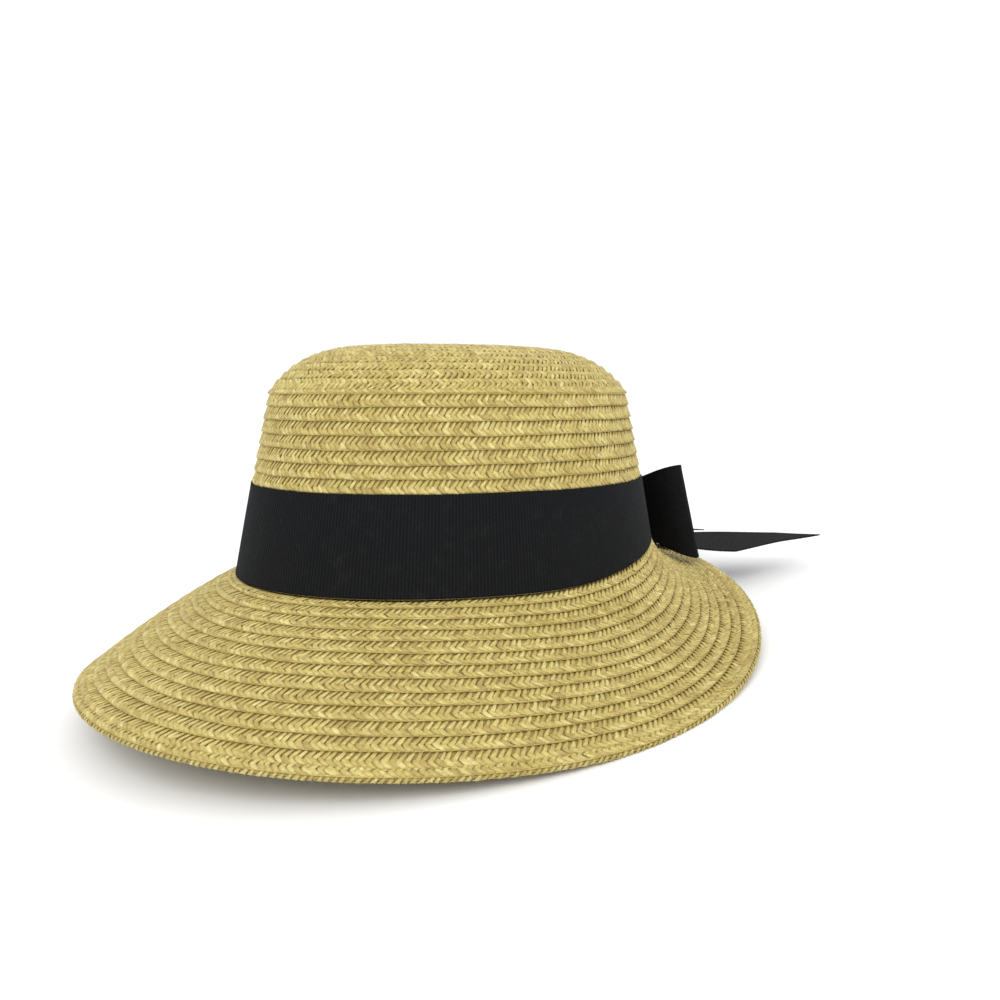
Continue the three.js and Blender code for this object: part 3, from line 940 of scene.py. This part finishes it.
def ribbon(name, sheet, look, rows=7, thick=RIBBON, closed=True, rib=RIB, relief=0.11,
           selvedge=0.08, facing=1, pleat=None):
    """A ribbon with its cross ribs. sheet(s, t) gives its middle in millimetres, s from 0 to
    1 along it and t from -1 to 1 across it. Returns the piece, its length and its width."""
    probe = np.linspace(0, 1, 400)
    steps = np.linalg.norm(np.diff(sheet(probe, 0 * probe), axis=0), axis=1)
    length = steps.sum()
    reach = np.concatenate([[0], np.cumsum(steps)])
    count = max(4, round(length / rib))
    columns = count * 4 if closed else count * 4 + 1
    even = np.interp(np.arange(columns) / (count * 4) * length, reach, probe)
    t = np.concatenate([[-1, -0.955], np.linspace(-0.9, 0.9, rows), [0.955, 1]])
    s, t = [g.ravel() for g in np.meshgrid(even, t, indexing="ij")]
    rows = rows + 4
    e = 1e-3
    wrap = (lambda v: v % 1.0) if closed else (lambda v: np.clip(v, 0, 1))
    along = sheet(wrap(s + e), t) - sheet(wrap(s - e), t)
    across = sheet(s, np.minimum(t + e, 1)) - sheet(s, np.maximum(t - e, -1))
    normal = facing * unit(np.cross(along, across))
    middle = sheet(s, t)
    width = np.linalg.norm(sheet(probe[:1], np.ones(1)) - sheet(probe[:1], -np.ones(1)))
    phase = np.repeat(np.arange(columns) % 4, rows)
    ridge = np.array([0.0, 0.75, 1.0, 0.75])[phase] * relief
    edge = np.where(np.abs(t) > 0.93, selvedge, 0)
    half = thick / 2 - relief + ridge + edge
    if pleat is not None:
        middle = middle + normal * pleat(s, t)[:, None]
    face, back = middle + normal * half[:, None], middle - normal * half[:, None]
    pile = Pile()
    n = columns * rows
    thread = np.stack([np.repeat(np.arange(columns) * length / count / 4, rows),
                       t * width / 2, 0 * t], axis=1)
    front = grid_faces(columns, rows, closed, False)
    rear = front[:, ::-1] + n
    j = np.arange(columns if closed else columns - 1)
    k = (j + 1) % columns
    low = np.stack([j * rows, j * rows + n, k * rows + n, k * rows], axis=1)
    top = np.stack([j * rows, k * rows, k * rows + n, j * rows + n], axis=1) + rows - 1
    sets = [front, rear, low, top]
    if not closed:
        i = np.arange(rows - 1)
        last = (columns - 1) * rows
        sets.append(np.stack([i, i + 1, i + 1 + n, i + n], axis=1))
        sets.append(np.stack([i, i + n, i + 1 + n, i + 1], axis=1) + last)
    pile.add(stand(np.concatenate([face, back])), sets, 0, thread=np.concatenate([thread, thread]))
    obj = pile.mesh(name)
    obj.data.materials.append(look)
    outwards(obj)
    return obj, length * MM, width * MM


def ring_turn(form_at):
    """Even steps round a ring: a share of its length to the turn."""
    turn = np.linspace(0, FULL, 721)
    steps = np.linalg.norm(np.diff(form_at(turn), axis=0), axis=1)
    reach = np.concatenate([[0], np.cumsum(steps)])
    return lambda s: np.interp(s, reach / reach[-1], turn)


def above(height):
    """An edge that keeps its height above the crown's foot all the way round."""
    return lambda turn: climb(turn) + height


def ring_sheet(low, high, out, first=0.0, last=1.0):
    at = ring_turn(lambda turn: wall((low(turn) + high(turn)) / 2, turn, out))

    def sheet(s, t):
        turn = at(first + s * (last - first))
        return wall(lerp(low(turn), high(turn), (t + 1) / 2), turn, out)

    return sheet


def finish_ribbon(obj, stands_for):
    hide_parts(stands_for)
    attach(obj, "hat")


SWEAT_THICK, LABEL_THICK = 0.8, 0.5
BAND_AROUND, SWEAT_AROUND = 585, 545  # about how far round the hat each one goes


def band_pieces():
    around_crown = ring_sheet(above(BAND_LOW), level(BAND_TOP_HEIGHT), GAP + RIBBON / 2)
    band, length, width = ribbon("hat_band", around_crown, BAND_LOOK)
    finish_ribbon(band, "band_ribbon")
    lap_out = 2 * GAP + 1.5 * RIBBON
    half = 8 / BAND_AROUND
    lap_edges = above(BAND_LOW + 0.2), level(BAND_TOP_HEIGHT - 0.2)
    lap, length, width = ribbon(
        "hat_band_lap", ring_sheet(*lap_edges, lap_out, 0.5 - half, 0.5 + half), BAND_LOOK,
        closed=False,
    )
    finish_ribbon(lap, "band_lap")
    sweat_out = -STRAW_THICK - GAP - SWEAT_THICK / 2
    sweat, length, width = ribbon(
        "sweatband_twill", ring_sheet(above(1.5), above(30), sweat_out), SWEAT_LOOK,
        thick=SWEAT_THICK, rib=1.5,
    )
    finish_ribbon(
        sweat, "sweatband"
    )
    face = -STRAW_THICK - GAP - SWEAT_THICK - GAP - LABEL_THICK / 2
    for name, middle, half, low, high in (
        ("size_label", 0.5, 13 / SWEAT_AROUND, 6, 18),
        ("care_label", 0.5 - 36.5 / SWEAT_AROUND, 9 / SWEAT_AROUND, 4, 27),
    ):
        tag, length, width = ribbon(
            name + "_woven", ring_sheet(above(low), above(high), face, middle - half, middle + half),
            LABEL_LOOK, closed=False, thick=LABEL_THICK, rib=0.9, relief=0.04, selvedge=0.03,
        )
        finish_ribbon(tag, name)


LABEL_LOOK = label_look()
band_pieces()

# ---- bow ------------------------------------------------------------------------------
KNOT_HALF, KNOT_BACK, KNOT_DEPTH, KNOT_LOW, KNOT_HIGH, KNOT_ROUND = 7, 100.8, 12.6, 9.5, 36, 4
LOOP_PLAN = np.array([
    [7.4, 105.6], [21, 102.2], [39, 99.6], [53, 101.2], [58.5, 106.8],
    [53.5, 112.6], [38.5, 115], [21, 113], [7.4, 110],
])
LOOP_FLARE, LOOP_FULL, LOOP_EVEN = 0.33, 75, 24
LOOP_AT_KNOT, LOOP_AT_END = (13, 29), (-7.1, 44.3)  # its lower and upper edge there
LOOP_WIDTH, TAIL_WIDTH = 0.034, 0.038               # flat widths given, in metres
TAIL_PLAN = {
    "tail_left": ((9.7, 115.8, 0.4), (74.8, 168.8, -1.4), -1, 1.6, 5.7),
    "tail_right": ((-5.7, 115.0, 2.0), (-26.5, 196.0, -8.0), 1, 0, 0),
}                                  # root, end, the longer side, sag, roll in degrees
# The roots stand about 8 to 11 mm clear of the knot. Real tails would start under it.
TAIL_BEND = 0.16                   # share of a tail, from its root. The point there is worked out, but the tail is not bent
TAIL_HALF, TAIL_CUT, TAIL_FAN = (5, 19), 0.58, 1.6


def closed_curve(points, count=600):
    """A smooth closed curve through points, evenly stepped, and its share to point."""
    n = len(points)
    u = np.linspace(0, n, count, endpoint=False)
    k, f = u.astype(int), (u % 1)[:, None]
    p0, p1, p2, p3 = [points[(k + d) % n] for d in (-1, 0, 1, 2)]
    curve = 0.5 * (
        2 * p1 + (p2 - p0) * f + (2 * p0 - 5 * p1 + 4 * p2 - p3) * f ** 2
        + (3 * p1 - p0 - 3 * p2 + p3) * f ** 3
    )
    return polyline(curve)


def polyline(curve):
    ring = np.concatenate([curve, curve[:1]])
    reach = np.concatenate([[0], np.cumsum(np.linalg.norm(np.diff(ring, axis=0), axis=1))])
    reach = reach / reach[-1]
    return lambda s: np.stack([np.interp(s, reach, ring[:, 0]), np.interp(s, reach, ring[:, 1])], axis=-1)


def loop_sheet(side):
    plan = closed_curve(LOOP_PLAN)

    def sheet(s, t):
        p = plan(s)
        x, y = p[..., 0], p[..., 1]
        spread = smooth(x, KNOT_HALF, LOOP_FULL)
        low, high = [lerp(a, b, spread) for a, b in zip(LOOP_AT_KNOT, LOOP_AT_END)]
        z = lerp(low, high, (t + 1) / 2)
        flare = LOOP_FLARE * spread * (LOOP_EVEN - z)
        return spot(side * (x + flare), y, z)

    def pleat(s, t):
        x = plan(s)[:, 0]
        near = np.exp(-np.maximum(x - KNOT_HALF, 0) / 13)
        return 0.85 * near * np.cos(2 * math.pi * 1.6 * t + 0.4)

    return sheet, pleat


def rounded_outline(inset):
    y0, y1 = KNOT_BACK + inset, KNOT_BACK + KNOT_DEPTH - inset
    z0, z1, r = KNOT_LOW + inset, KNOT_HIGH - inset, KNOT_ROUND - inset
    corners = (
        (y1 - r, z0 + r, -90), (y1 - r, z1 - r, 0), (y0 + r, z1 - r, 90), (y0 + r, z0 + r, 180)
    )
    points = []
    for cy, cz, start in corners:
        for angle in np.radians(np.linspace(start, start + 90, 13)):
            points.append((cy + r * math.cos(angle), cz + r * math.sin(angle)))
    return polyline(np.array(points))


def wrap_sheet(half, inset):
    outline = rounded_outline(inset)

    def sheet(s, t):
        p = outline(s)
        waist = 1 - 0.10 * smooth(p[..., 0], KNOT_BACK + 4, KNOT_BACK + KNOT_DEPTH)
        return spot(half * waist * t, p[..., 0], p[..., 1])

    def pleat(s, t):
        return -0.55 * np.abs(np.sin(1.5 * math.pi * t)) ** 0.8 * smooth(
            outline(s)[..., 0], KNOT_BACK + 2, KNOT_BACK + KNOT_DEPTH
        )

    return sheet, pleat


def tail_sheet(root, end, long, sag, roll):
    root, end = np.array(root), np.array(end)
    along = end - root
    level_aside = unit(np.array([along[1], -along[0], 0]))
    roll = math.radians(roll)
    turned = np.cross(unit(along), level_aside)
    aside = level_aside * math.cos(roll) + turned * math.sin(roll)
    up = unit(np.cross(aside, along))
    up = up if up[2] > 0 else -up

    def sheet(s, t):
        r = s * (1 + TAIL_CUT / 2)
        limit = np.clip((r - 1) / (TAIL_CUT / 2), -1, 0.999)
        w = long * lerp(limit, 1, (t * long + 1) / 2)
        half = lerp(*TAIL_HALF, smooth(np.minimum(1, r * TAIL_FAN / 1.1), -0.35, 1.0))
        belly = -sag * np.sin(math.pi * np.minimum(1, r)) + 0.3 * np.sin(7 * r) * w
        return root + along * r[..., None] + aside * (w * half)[..., None] + up * belly[..., None]

    return sheet


def bow_pieces():
    for side, word in ((1, "left"), (-1, "right")):
        sheet, pleat = loop_sheet(side)
        loop, length, _ = ribbon(
            f"bow_loop_{word}_ribbon", sheet, BOW_LOOK_PAINTED_SHADE, rows=13, facing=side, pleat=pleat
        )
        finish_ribbon(loop, f"bow_loop_{word}")
    sheet, pleat = wrap_sheet(KNOT_HALF, RIBBON / 2)
    wrap, length, width = ribbon("bow_knot_ribbon", sheet, BOW_LOOK_PAINTED_SHADE, rows=13, pleat=pleat)
    finish_ribbon(wrap, "bow_wrap")
    start_clean()
    bpy.ops.mesh.primitive_cube_add(size=1)
    core = bpy.context.object
    core.name = "bow_filling"
    for axis in range(3):
        pick(core, lambda co: True)
        cut = [0, 0, 0]
        cut[axis] = 1
        bpy.ops.mesh.bisect(plane_co=(0, 0, 0), plane_no=cut)
    pick(core, lambda co: True)
    bpy.ops.mesh.subdivide(number_cuts=3, smoothness=0.2)
    bpy.ops.transform.resize(value=(2 * (KNOT_HALF - 2.2), KNOT_DEPTH - 4, KNOT_HIGH - KNOT_LOW - 4))
    bpy.ops.object.mode_set(mode="OBJECT")
    points = np.array([v.co[:] for v in core.data.vertices])
    thread = points[:, [2, 0, 1]]
    points = stand(points + [0, KNOT_BACK + KNOT_DEPTH / 2, (KNOT_LOW + KNOT_HIGH) / 2])
    core.data.vertices.foreach_set("co", points.ravel())
    mark = core.data.attributes.new("thread", "FLOAT_VECTOR", "POINT")
    mark.data.foreach_set("vector", thread.astype(np.float32).ravel())
    core.data.materials.append(BOW_LOOK_PAINTED_SHADE)
    outwards(core)
    bpy.ops.object.shade_smooth()
    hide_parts("bow_core")
    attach(core, "hat")
    for name, (root, end, long, sag, roll) in TAIL_PLAN.items():
        tail, length, _ = ribbon(
            name + "_ribbon", tail_sheet(root, end, long, sag, roll), BOW_LOOK_PAINTED_SHADE, rows=9, closed=False,
            thick=0.6, facing=1,
        )
        cut = (TAIL_WIDTH, length)
        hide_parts(name)
        far = np.array(root) + TAIL_BEND * (np.array(end) - np.array(root))
        stand([root])[0]
        stand([far])[0]
        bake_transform(tail)


bow_pieces()


# ---- floor and light ------------------------------------------------------------------
def floor_and_light():
    start_clean()
    bpy.ops.mesh.primitive_plane_add(size=80, location=(0, 0, 0))
    floor = bpy.context.object
    floor.name = "floor"
    look, _, _ = principled(
        "pale_floor", Base_Color=(0.93, 0.93, 0.93, 1), Roughness=0.9, Specular_IOR_Level=0.1
    )
    floor.data.materials.append(look)
    world = bpy.data.worlds.new("studio")
    bpy.context.scene.world = world
    world.use_nodes = True
    sky = world.node_tree.nodes["Background"]
    sky.inputs["Color"].default_value = (1, 1, 1, 1)
    sky.inputs["Strength"].default_value = 1.1
    for name, place, power, size in (
        ("key", (0.73, -0.98, 1.35), 9, 1.1),
        ("fill", (1.3, 0.2, 0.9), 2, 1.4),
    ):
        data = bpy.data.lights.new(name, "AREA")
        data.energy, data.size = power, size
        lamp = bpy.data.objects.new(name, data)
        bpy.context.scene.collection.objects.link(lamp)
        lamp.location = place
        aim = Vector((0, 0, 0.06)) - Vector(place)
        lamp.rotation_euler = aim.to_track_quat("-Z", "Y").to_euler()


floor_and_light()

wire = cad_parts["edge_wire"]
wire.data.materials.clear()
wire.data.materials.append(metal_look())

scene = bpy.context.scene
scene.view_settings.view_transform = "Standard"
